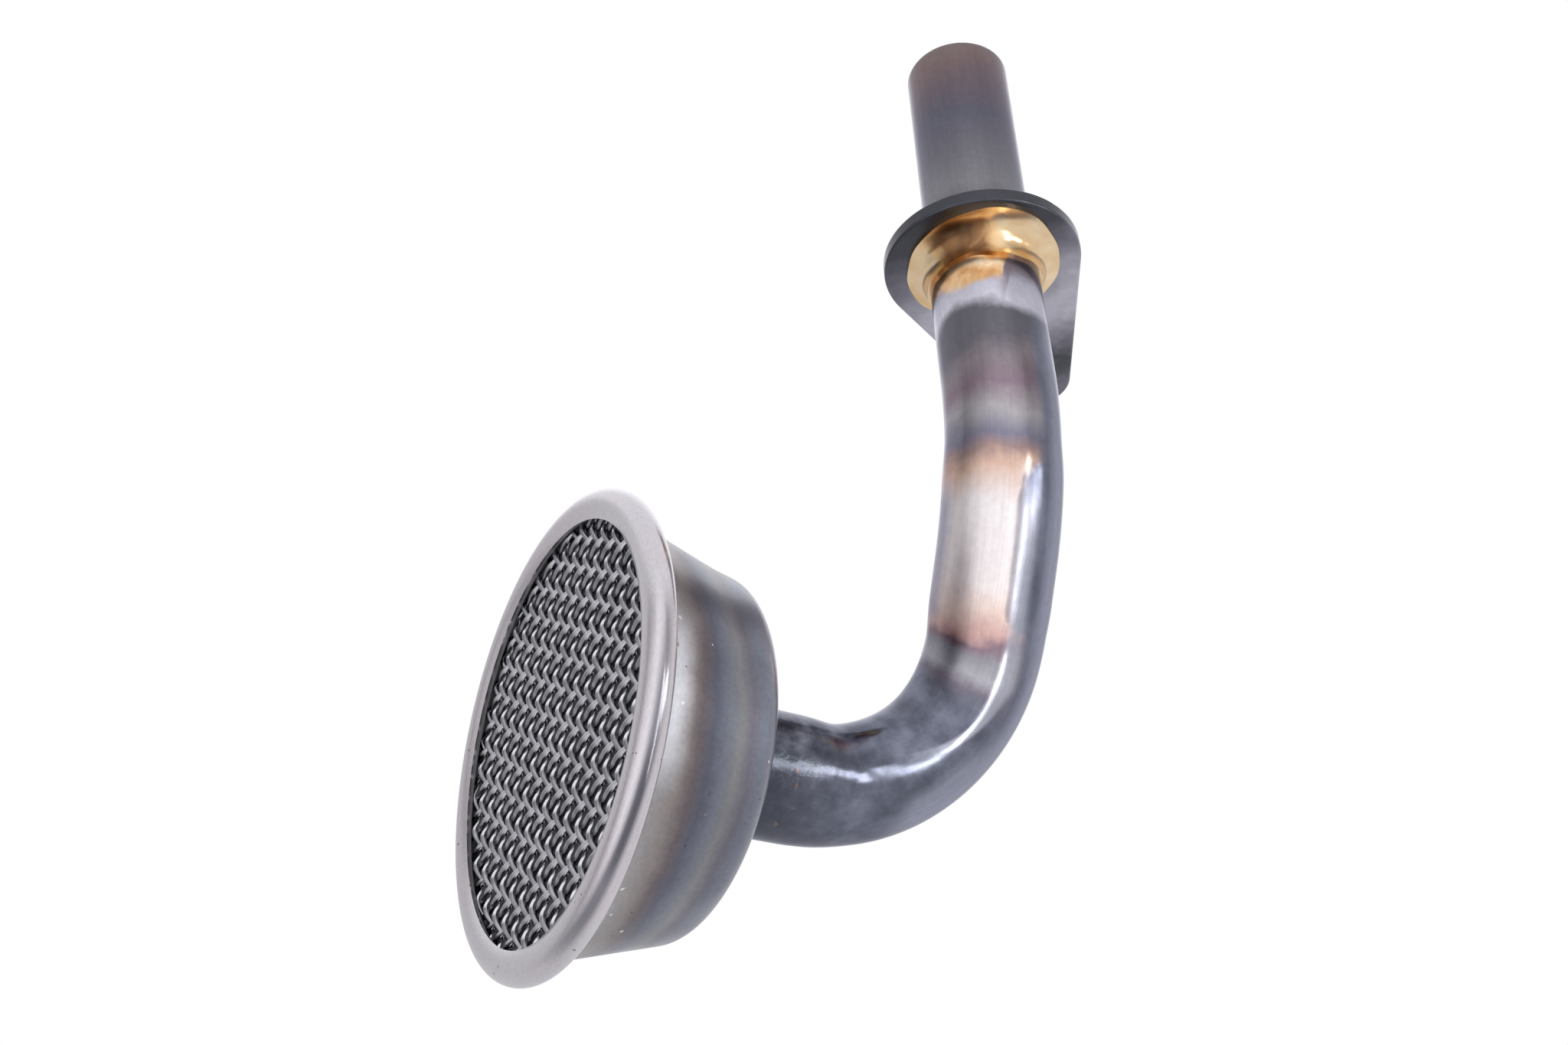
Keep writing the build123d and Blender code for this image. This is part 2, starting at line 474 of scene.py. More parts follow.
@dataclass(frozen=True)
class HeatTintedTube:
    """Bare steel tube with bands of heat tint, measured along its run from the seat face towards the cup.

    The bands show on the side that the flame met. The rest of the tube is scaled a dull blue grey. The run
    and the distance aside of the flame's side are in millimetres, and grains are per millimetre.
    """

    tints: Bands = (
        (-42.5, "7c6e6b"), (-38.0, "766463"), (-31.0, "665b62"), (-25.0, "5b5a66"), (-19.0, "6a6970"),
        (-10.0, "7e7d81"), (-3.0, "6d6a6d"), (-1.0, "4a4444"), (10.0, "7a7278"), (12.5, "bab8c2"),
        (16.5, "cfcdd6"), (19.0, "66656c"), (24.0, "69666d"), (28.0, "8c8286"), (32.0, "8e7b86"),
        (36.0, "aeaaab"), (40.0, "827f90"), (42.0, "a08884"), (44.5, "d8b6a2"), (48.0, "f0e9e7"),
        (58.0, "f1e8e5"), (62.0, "ecd6ca"), (65.0, "d6afa6"), (67.0, "8c767f"), (69.5, "95949a"),
        (73.0, "adacb1"), (76.5, "7a707c"), (79.0, "767580"),
    )
    scale_tints: Bands = ((0.3, "474a54"), (0.45, "606370"), (0.58, "747886"), (0.72, "828692"))
    cloud_tints: Bands = ((0.34, "3e424c"), (0.44, "5c606a"), (0.54, "80868f"), (0.66, "b0b6c0"))
    shade_tints: Bands = ((0.3, "5e6170"), (0.5, "6e7180"), (0.7, "808390"))
    wash_tints: Bands = ((0.3, "b07c4a"), (0.44, "d4a068"), (0.54, "ecc08c"), (0.7, "fae6c6"))
    specular_tint: Tone = (0.72, 0.72, 0.76, 1.0)
    flame_side: float = radians(126)
    drift: Grain = Grain(0.075)
    drift_reach: float = 10.0
    fray: Grain = Grain(0.55, 3.0, 0.6)
    fray_reach: float = 1.6
    mottle: Grain = Grain(0.13, 5.0, 0.6)
    fine: Grain = Grain(0.9, 5.0, 0.6)
    fine_levels: Triple = (0.94, 1.05, 0.25)
    drawn: Grain = Grain(1.0, 3.0, 0.6)
    drawn_stretch: Triple = (0.05, 2.6, 2.6)
    drawn_levels: Pair = (0.95, 1.04)
    drawn_depth: float = 0.004
    scale_run: Pair = (74.0, 82.0)
    scaled_back: Change = (1.5, -4.0, 0.0, 0.8)
    cup_soot: Coat = Coat("454850", 0.6)
    cup_soot_run: Pair = (104.0, 118.0)
    cloud: Grain = Grain(0.30, 5.0, 0.6)
    cloud_aside: Change = (-3.0, 3.0, 0.1, 0.75)
    # Painted shade: a dark coat on the tube's shaded side just before it enters the cup
    painted_shade_by_cup: Coat = Coat("30343c", 0.5)
    shade_by_cup_run: Pair = (112.0, 118.0)
    shade_by_cup_aside: Pair = (1.0, -1.5)
    shade_run: Window = ((15.0, 24.0), (102.0, 95.0))
    # Painted reflection: a lighter grey laid over the dark side where the bend turns outwards
    painted_bend_reflection: Coat = Coat("8f93a0")
    bend_reflection_run: Window = ((78.0, 88.0), (100.0, 94.0))
    # Painted sheen: a lighter grey along the tube's far edge, standing in for its bright grazing reflection
    painted_far_edge_sheen: Coat = Coat("989baa")
    far_edge_sheen_aside: Pair = (-6.48, -8.55)
    # Painted shade: a darker lavender grey along the near edge of the bright clean band
    painted_near_edge_shade: Coat = Coat("aeabbc", 0.8)
    near_edge_shade_aside: Pair = (6.48, 8.46)
    clean_run: Window = ((43.0, 48.0), (67.0, 62.0))
    border_aside: float = 5.6
    border_retreat: float = 3.0
    border_drift: float = 2.0
    border_blur: Pair = (-0.7, 1.3)
    border_line: Coat = Coat("4a4450", 0.4)
    border_line_span: Window = ((-0.6, 0.1), (0.9, 0.3))
    # Painted highlight: a pale stripe that follows the long lamp's highlight from the run into the bend
    painted_highlight: Coat = Coat("bcbec8", 0.7)
    painted_highlight_run: Window = ((45.0, 52.0), (97.0, 84.0))
    painted_highlight_line: Change = (75.0, 110.0, -4.5, 1.8)
    painted_highlight_edge: Change = (72.0, 82.0, 1.9, 0.9)
    painted_highlight_core: float = 0.3
    wash_drift: float = 9.0
    wash_start: Pair = (0.8, 1.0)
    wash_end: Change = (-4.6, -1.4, 5.2, 12.6)
    wash_back_end: Change = (5.0, 8.0, 0.0, 2.0)
    wash_edge: Grain = Grain(0.22)
    wash_edge_reach: float = 4.0
    wash_blur: Pair = (-0.8, 1.0)
    wash_flow: Grain = Grain(0.2, 3.0, 0.5, 0.3)
    burnt_edge: Coat = Coat("7e7076", 0.85)
    burnt_span: Window = ((-0.8, 0.8), (6.0, 3.5))
    burnt_aside: Pair = (-1.0, -4.0)
    copper: Coat = Coat("c08e68")
    copper_run: Pair = (112.0, 122.0)
    speck: Grain = Grain(0.55, 2.0)
    speck_levels: Pair = (0.66, 0.70)
    dark_bore: Coat = Coat("2c2a2a")
    polish: Grain = Grain(0.3, 4.0)
    roughness: Pair = (0.12, 0.18)
    clean_roughness: Change = (-3.0, -1.5, 0.09, 0.24)
    bend_roughness: Change = (-3.0, -1.5, 0.0, 0.14)
    bend_run: Window = ((60.0, 66.0), (92.0, 80.0))
    cup_roughness: float = 0.06
    crust: Grain = Grain(0.42, 5.0, 0.6)
    crust_run: Pair = (101.0, 120.0)
    crust_depth: float = 0.12
    film: Pair = (0.25, 0.16)

    def material(self) -> Material:
        """Build the finish: tint bands with ragged edges, scale on the bend, brass wash and copper specks,
        and painted highlight, reflection and shade.

        Returns:
            The finished material.
        """
        shader = Shader("heat_tinted_steel")
        laid, _ = shader.field("laid_straight")
        _, bore = shader.field("bore")
        run, across, along = shader.parts(laid)
        aside = shader.towards(across, along, self.flame_side + pi / 2)
        facing = shader.towards(across, along, self.flame_side)
        drift = shader.noise(laid, self.drift)
        ragged = shader.wander(run, drift, self.drift_reach)
        ragged = shader.wander(ragged, shader.noise(laid, self.fray), self.fray_reach)
        clean = shader.window(ragged, *self.clean_run)
        near_cup = shader.span(run, *self.cup_soot_run)
        mottle = shader.noise(laid, self.mottle)
        scale = shader.bands(mottle, self.scale_tints)

        colour = shader.laid(shader.span(ragged, *self.scale_run), shader.bands(ragged, self.tints), scale)
        colour = shader.coated(colour, near_cup, self.cup_soot)
        cloud = shader.bands(shader.noise(laid, self.cloud), self.cloud_tints)
        colour = shader.laid(shader.times(near_cup, shader.span(aside, *self.cloud_aside)), colour, cloud)
        # painted shade on the shaded side where the tube meets the cup
        under = shader.times(shader.span(run, *self.shade_by_cup_run), shader.span(aside, *self.shade_by_cup_aside))
        colour = shader.coated(colour, under, self.painted_shade_by_cup)

        shade = shader.bands(mottle, self.shade_tints)
        # lay the painted reflection over the dark side on the outer bend
        shade = shader.coated(shade, shader.window(run, *self.bend_reflection_run), self.painted_bend_reflection)
        # lighten the far edge with the painted sheen
        shade = shader.coated(shade, shader.span(aside, *self.far_edge_sheen_aside), self.painted_far_edge_sheen)
        border = shader.added(self.border_aside, clean, -self.border_retreat)
        away = shader.wander(shader.times(aside, -1.0), drift, self.border_drift)
        beyond = shader.math("SUBTRACT", away, border)
        shaded = shader.times(shader.span(beyond, *self.border_blur), shader.window(run, *self.shade_run))
        colour = shader.laid(shaded, colour, shade)
        line = shader.window(beyond, *self.border_line_span)
        colour = shader.coated(colour, shader.times(line, clean), self.border_line)
        # darken the clean band's near edge with painted shade
        near_edge_shade = shader.span(aside, *self.near_edge_shade_aside)
        colour = shader.coated(colour, shader.times(near_edge_shade, clean), self.painted_near_edge_shade)
        colour = shader.laid(shader.span(facing, *self.scaled_back), colour, scale)

        # a painted highlight stripe whose side moves along the run as the lamp's highlight does
        highlight_line, highlight_edge = (shader.span(run, *change) for change in (self.painted_highlight_line, self.painted_highlight_edge))
        painted_highlight = shader.stripe(aside, highlight_line, highlight_edge, self.painted_highlight_core)
        painted_highlight = shader.times(painted_highlight, shader.window(run, *self.painted_highlight_run))
        colour = shader.coated(colour, painted_highlight, self.painted_highlight)
        drawn = shader.noise(laid, self.drawn, self.drawn_stretch)
        colour = shader.mottled(colour, shader.noise(laid, self.fine), *self.fine_levels)
        colour = shader.mottled(colour, drawn, *self.drawn_levels)
        colour = self.washed(shader, colour, laid, run, aside)
        specks = shader.span(shader.noise(laid, self.speck), *self.speck_levels)
        copper = shader.times(shader.span(run, *self.copper_run), specks)
        colour = shader.coated(colour, copper, self.copper)
        colour = shader.coated(colour, bore, self.dark_bore)

        rough = shader.clouded(shader.noise(laid, self.polish), *self.roughness)
        rough = shader.added(rough, clean, shader.span(aside, *self.clean_roughness))
        at_bend = shader.window(run, *self.bend_run)
        rough = shader.added(rough, at_bend, shader.span(aside, *self.bend_roughness))
        rough = shader.added(rough, near_cup, self.cup_roughness)
        crust = shader.times(shader.noise(laid, self.crust), shader.span(run, *self.crust_run))
        normal = shader.relief(drawn, self.drawn_depth, shader.relief(crust, self.crust_depth))
        shader.metal.inputs["Specular Tint"].default_value = self.specular_tint
        return shader.finish(colour, rough, normal, self.film)

    def washed(self, shader: Shader, colour: Socket, laid: Socket, run: Socket, aside: Socket) -> Socket:
        """Lay the brass that ran along the tube from the flange, with a burnt edge, over a colour.

        Args:
            shader: The tube's shader.
            colour: What the wash lies on.
            laid: The tube's surface laid straight.
            run: Distance along the tube from the seat face.
            aside: Distance aside of the flame's side.

        Returns:
            The colour with the wash on it.
        """
        wavering = shader.wander(aside, shader.noise(laid, self.drift), self.wash_drift)
        edge = shader.span(wavering, *self.wash_end)
        edge = shader.math("SUBTRACT", edge, shader.span(aside, *self.wash_back_end))
        edge = shader.wander(edge, shader.noise(laid, self.wash_edge), self.wash_edge_reach)
        begun = shader.span(run, *self.wash_start)
        burnt = shader.window(shader.math("SUBTRACT", run, edge), *self.burnt_span)
        burnt = shader.times(burnt, shader.span(aside, *self.burnt_aside), begun)
        colour = shader.coated(colour, burnt, self.burnt_edge)
        within = shader.span(shader.math("SUBTRACT", edge, run), *self.wash_blur)
        wash = shader.bands(shader.noise(laid, self.wash_flow), self.wash_tints)
        return shader.laid(shader.times(within, begun), colour, wash)


@dataclass(frozen=True)
class DrawnCupSteel:
    """Deep-drawn sheet: a brushed rolled rim with a painted dark reflection line on its roll, and a wall and
    back with broad bands of heat tint and a painted highlight near the rim.

    Distances along the sheet and towards a side are in millimetres. Grains on the place are per metre.
    """

    tints: Bands = (
        (9.6, "dcdce0"), (10.5, "c6c6ca"), (11.8, "a09d9d"), (14.6, "918985"), (16.7, "6d6365"),
        (18.7, "60626f"), (20.8, "7a7e89"), (22.9, "8b8b8b"), (25.0, "74717b"), (27.0, "7a808b"),
        (28.8, "8e8e97"), (31.0, "9a98a2"), (35.0, "a19ea6"), (40.0, "9993a0"), (46.0, "a4998f"),
        (50.0, "878a96"),
    )
    drift: Grain = Grain(32.0, 2.0)
    drift_reach: float = 8.0
    fray: Grain = Grain(260.0, 4.0, 0.6)
    fray_reach: float = 1.6
    # Painted highlight: a near-white patch on one side of the wall, just under the rim
    painted_wall_highlight: Coat = Coat("e2e2e6", 0.9)
    wall_highlight_way: float = radians(-165)
    wall_highlight_side: Pair = (31.4, 34.4)
    wall_highlight_skin: Pair = (16.0, 12.0)
    cloud: Grain = Grain(90.0, 5.0, 0.6)
    cloud_levels: Pair = (0.9, 1.08)
    fine: Grain = Grain(1500.0, 3.0, 0.6)
    fine_levels: Pair = (0.93, 1.05)
    rim_tone: str = "d2d0d4"
    rim_warm_tone: str = "d8cfcf"
    rim_end: Pair = (9.0, 10.2)
    warm: Grain = Grain(45.0)
    brushed: Grain = Grain(1.0, 3.0, 0.6)
    brushed_stretch: Triple = (5.0, 1.2, 1.2)
    brushed_levels: Pair = (0.93, 1.04)
    brushed_depth: float = 0.006
    # Painted reflection: a soft dark line along the rim's roll, with a darker core on one side
    dark_reflection_line: float = 4.3
    dark_reflection_lean: float = -0.048
    dark_reflection_way: float = radians(-138)
    rolled: Coat = Coat("807e84")
    dark_reflection_span: Pair = (1.15, 0.2)
    dark_reflection_side: Pair = (23.0, 33.0)
    darkest_reflection: Coat = Coat("3e3c42", 0.7)
    darkest_reflection_span: Pair = (0.7, 0.1)
    darkest_reflection_side: Pair = (32.8, 34.5)
    pit: Coat = Coat("4a4646", 0.75)
    pits: Grain = Grain(700.0, 2.0)
    pit_levels: Pair = (0.725, 0.75)
    bright_speck: Coat = Coat("f0eeec", 0.8)
    specks: Grain = Grain(420.0, 2.0)
    speck_levels: Pair = (0.27, 0.25)
    inside: Coat = Coat("9c9c9f")
    inside_metal: Change = (0.0, 1.0, 1.0, 0.2)
    inside_roughness: float = 0.45
    polish: Grain = Grain(160.0, 4.0)
    roughness: Pair = (0.17, 0.23)
    wall_roughness: float = 0.12
    drawn_skin: Grain = Grain(420.0, 5.0, 0.6)
    drawn_skin_depth: float = 0.010
    film: Pair = (0.3, 0.16)

    def material(self) -> Material:
        """Build the finish on the distance along the sheet from the lip's edge.

        Returns:
            The finished material.
        """
        shader = Shader("drawn_heated_steel")
        _, skin = shader.field("skin")
        _, inside = shader.field("inside")
        around, _ = shader.field("around")
        around_x, around_y, _ = shader.parts(around)
        place = shader.place()
        wander = shader.wander(skin, shader.noise(place, self.drift), self.drift_reach)
        wander = shader.wander(wander, shader.noise(place, self.fray), self.fray_reach)

        wall = shader.bands(wander, self.tints)
        # painted highlight on one side of the wall under the rim
        painted_wall_highlight = shader.span(shader.towards(around_x, around_y, self.wall_highlight_way), *self.wall_highlight_side)
        painted_wall_highlight = shader.times(painted_wall_highlight, shader.span(wander, *self.wall_highlight_skin))
        wall = shader.coated(wall, painted_wall_highlight, self.painted_wall_highlight)
        wall = shader.mottled(wall, shader.noise(place, self.cloud), *self.cloud_levels)
        wall = shader.mottled(wall, shader.noise(place, self.fine), *self.fine_levels)

        brushed = shader.noise(shader.joined(skin, around_x, around_y), self.brushed, self.brushed_stretch)
        rim = shader.laid(shader.noise(place, self.warm), self.rim_tone, self.rim_warm_tone)
        rim = shader.mottled(rim, brushed, *self.brushed_levels)
        # the rolled coat and the darkest core are the painted dark reflection line on the roll
        dark_reflection_line = shader.added(self.dark_reflection_line, around_x, self.dark_reflection_lean)
        side = shader.towards(around_x, around_y, self.dark_reflection_way)
        rolled = shader.stripe(skin, dark_reflection_line, *self.dark_reflection_span)
        rolled = shader.times(rolled, shader.span(side, *self.dark_reflection_side))
        rim = shader.coated(rim, rolled, self.rolled)
        darkest_reflection = shader.stripe(skin, dark_reflection_line, *self.darkest_reflection_span)
        darkest_reflection = shader.times(darkest_reflection, shader.span(side, *self.darkest_reflection_side))
        rim = shader.coated(rim, darkest_reflection, self.darkest_reflection)

        on_wall = shader.span(skin, *self.rim_end)
        colour = shader.laid(on_wall, rim, wall)
        pits = shader.span(shader.noise(place, self.pits), *self.pit_levels)
        colour = shader.coated(colour, pits, self.pit)
        speck = shader.times(shader.span(shader.noise(place, self.specks), *self.speck_levels), on_wall)
        colour = shader.coated(colour, speck, self.bright_speck)
        colour = shader.coated(colour, inside, self.inside)
        rough = shader.clouded(shader.noise(place, self.polish), *self.roughness)
        rough = shader.added(rough, on_wall, self.wall_roughness)
        rough = shader.added(rough, inside, self.inside_roughness)
        normal = shader.relief(brushed, self.brushed_depth)
        normal = shader.relief(shader.noise(place, self.drawn_skin), self.drawn_skin_depth, normal)
        finish = shader.finish(colour, rough, normal, self.film)
        shader.put(shader.metal.inputs["Metallic"], shader.span(inside, *self.inside_metal))
        return finish


@dataclass(frozen=True)
class BrightWire:
    """Bright drawn steel wire, lined along, greyer in patches, with a painted highlight on one flank of each
    wave.
    """

    light_tone: str = "a8a7aa"
    dark_tone: str = "868589"
    # Painted highlight: pale steel on the flanks that lean one way, where the light falls on each wave
    painted_highlight: Coat = Coat("e6e6e8")
    painted_highlight_lean: Pair = (0.02, -0.32)
    drawn: Grain = Grain(1.0, 3.0, 0.6)
    drawn_stretch: Triple = (0.25, 5.0, 5.0)
    drawn_depth: float = 0.004
    patch: Grain = Grain(0.5, 3.0, 0.55)
    roughness: Pair = (0.22, 0.15)

    def material(self) -> Material:
        """Build the finish on the distance along each wire.

        Returns:
            The finished material.
        """
        shader = Shader("bright_woven_wire")
        laid, _ = shader.field("along_wire")
        _, _, lean = shader.parts(laid)
        patch = shader.noise(laid, self.patch)
        colour = shader.laid(shader.clouded(patch, 0.0, 1.0), self.dark_tone, self.light_tone)
        # painted highlight on one flank of each wave
        colour = shader.coated(colour, shader.span(lean, *self.painted_highlight_lean), self.painted_highlight)
        drawn = shader.noise(laid, self.drawn, self.drawn_stretch)
        rough = shader.clouded(patch, *self.roughness)
        return shader.finish(colour, rough, shader.relief(drawn, self.drawn_depth))


@dataclass(frozen=True)
class HeatedPlate:
    """Stamped plate gone dark grey with heat, lavender where its lug begins and dark again by the bolt hole.

    The tints follow the reach towards the lug, in metres.
    """

    tints: Bands = (
        (-0.018, "46474d"), (-0.009, "46474d"), (-0.001, "75737d"), (0.011, "bab8c1"), (0.017, "bab8c1"),
        (0.025, "75737d"), (0.029, "46474d"), (0.035, "75737d"), (0.040, "75737d"),
    )
    lug_way: float = radians(49.5)
    cloud: Grain = Grain(110.0, 3.0, 0.55)
    cloud_reach: float = 0.020
    fine: Grain = Grain(600.0)
    fine_levels: Pair = (0.94, 1.05)
    stamped: Grain = Grain(500.0)
    stamped_depth: float = 0.008
    roughness: Pair = (0.28, 0.38)
    film: Pair = (0.3, 0.2)

    def material(self) -> Material:
        """Build the finish on the reach towards the lug, moved to and fro by a cloud.

        Returns:
            The finished material.
        """
        shader = Shader("dark_heated_plate")
        place = shader.place()
        x, _, z = shader.parts(place)
        cloud = shader.noise(place, self.cloud)
        reach = shader.wander(shader.towards(x, z, self.lug_way), cloud, self.cloud_reach)
        fine = shader.noise(place, self.fine)
        colour = shader.mottled(shader.bands(reach, self.tints), fine, *self.fine_levels)
        normal = shader.relief(shader.noise(place, self.stamped), self.stamped_depth)
        return shader.finish(colour, shader.clouded(cloud, *self.roughness), normal, self.film)


@dataclass(frozen=True)
class RunBrass:
    """Brazing brass as it ran and cooled: pale gold, and brown where the flux burnt on the flame's side."""

    tints: Bands = ((0.1, "5a4028"), (0.36, "926a44"), (0.62, "e4bc86"), (1.0, "f4dcb4"))
    burnt_way: float = radians(-124)
    burnt_side: Pair = (0.80, 0.99)
    burnt_reach: Pair = (0.0140, 0.0120)
    burnt_depth: float = 0.60
    clean_level: float = 0.84
    flow: Grain = Grain(170.0, 3.0, 0.5, 0.3)
    flow_reach: float = 1.1
    waves: Grain = Grain(260.0)
    wave_depth: float = 0.05
    roughness: Change = (0.3, 0.8, 0.34, 0.18)
    film: Pair = (0.3, 0.15)

    def material(self) -> Material:
        """Build the finish from a burnt side about the tube's own line, in metres, and soft noise.

        Returns:
            The finished material.
        """
        shader = Shader("run_brazing_brass")
        place = shader.place()
        x, _, z = shader.parts(place)
        reach = shader.math("SQRT", shader.math("ADD", shader.times(x, x), shader.times(z, z)))
        side = shader.math("DIVIDE", shader.towards(x, z, self.burnt_way), reach)
        burnt = shader.times(shader.span(side, *self.burnt_side), shader.span(reach, *self.burnt_reach))
        level = shader.added(self.clean_level, burnt, -self.burnt_depth)
        level = shader.wander(level, shader.noise(place, self.flow), self.flow_reach)
        rough = shader.span(level, *self.roughness)
        normal = shader.relief(shader.noise(place, self.waves), self.wave_depth)
        return shader.finish(shader.bands(level, self.tints), rough, normal, self.film)


@dataclass(frozen=True)
class PaleFloor:
    """Matt white floor far under the part, which is only seen from above."""

    paint: Tone = (0.86, 0.86, 0.87, 1.0)
    mottle: Grain = Grain(3.0, 2.0)
    mottle_levels: Pair = (0.99, 1.0)
    roughness: float = 0.9
    specular: float = 0.1

    def material(self) -> Material:
        """Build matt paint on the upper face, and nothing on the lower one.

        Returns:
            The finished material.
        """
        shader = Shader("pale_floor")
        noise = shader.noise(shader.place(), self.mottle)
        inputs = {"Base Color": shader.mottled(self.paint, noise, *self.mottle_levels),
                  "Roughness": self.roughness, "Specular IOR Level": self.specular}
        for key, value in inputs.items():
            shader.put(shader.metal.inputs[key], value)
        clear = shader.node("ShaderNodeBsdfTransparent", {})
        side = shader.node("ShaderNodeNewGeometry", {}).outputs["Backfacing"]
        faces = {0: side, 1: shader.metal.outputs["BSDF"], 2: clear.outputs[0]}
        shader.put(shader.output.inputs["Surface"], shader.node("ShaderNodeMixShader", faces).outputs[0])
        return shader.material


@dataclass(frozen=True)
class Route:
    """The tube's centre line: straight runs joined by arcs that touch them, from the spigot to the cup."""

    corners: tuple[Triple, ...]
    radii: tuple[float, ...]

    def legs(self) -> tuple[Array, Array, Array]:
        """Take the route apart into its runs and turns.

        Returns:
            Directions of the straight runs, angles between them, and the runs' lengths without the arcs.
        """
        steps = np.diff(np.array(self.corners), axis=0)
        ways = unit(steps)
        turns = np.arccos(np.sum(ways[:-1] * ways[1:], axis=1))
        setbacks = np.array(self.radii) * np.tan(turns / 2)
        straights = np.linalg.norm(steps, axis=1) - np.append(0, setbacks) - np.append(setbacks, 0)
        return ways, turns, straights

    def length(self) -> float:
        """Length of the centre line."""
        _, turns, straights = self.legs()
        return float(straights.sum() + (turns * np.array(self.radii)).sum())

    def frames(self, run: Array) -> tuple[Array, Array, Array]:
        """Lay points and cross directions along the route.

        A straight run adds its direction times what is passed of it. An arc of radius r, passed by an
        angle a, adds r sin a along the run before it and r (1 - cos a) towards its middle. The cross
        directions start with the one upwards, and are turned about each arc's axis by the angle passed.

        Args:
            run: Distances from the start.

        Returns:
            Centre points, and two directions across the route at each of them.
        """
        ways, turns, straights = self.legs()
        centre = np.repeat(np.array(self.corners[:1], dtype=float), len(run), axis=0)
        side = np.repeat(UPWARDS[None, :], len(run), axis=0)
        up = np.cross(ways[0], side)
        passed = 0.0
        for number, way in enumerate(ways):
            centre = centre + np.clip(run - passed, 0, straights[number])[:, None] * way
            passed += straights[number]
            if number == len(turns):
                break
            radius, turn = self.radii[number], turns[number]
            axis = unit(np.cross(way, ways[number + 1]))
            angle = np.clip((run - passed) / radius, 0, turn)[:, None]
            centre = centre + radius * (np.sin(angle) * way + (1 - np.cos(angle)) * np.cross(axis, way))
            side, up = (self.turned(direction, axis, angle) for direction in (side, up))
            passed += radius * turn
        return centre, side, up

    @staticmethod
    def turned(direction: Array, axis: Array, angle: Array) -> Array:
        """Turn directions about an axis, as v cos a + (k x v) sin a + k (k . v) (1 - cos a).

        Args:
            direction: The directions v, one a row.
            axis: The axis k.
            angle: The angles a, one a row.

        Returns:
            The turned directions.
        """
        along = (direction @ axis)[:, None] * axis
        across = np.cross(axis, direction)
        return direction * np.cos(angle) + across * np.sin(angle) + along * (1 - np.cos(angle))


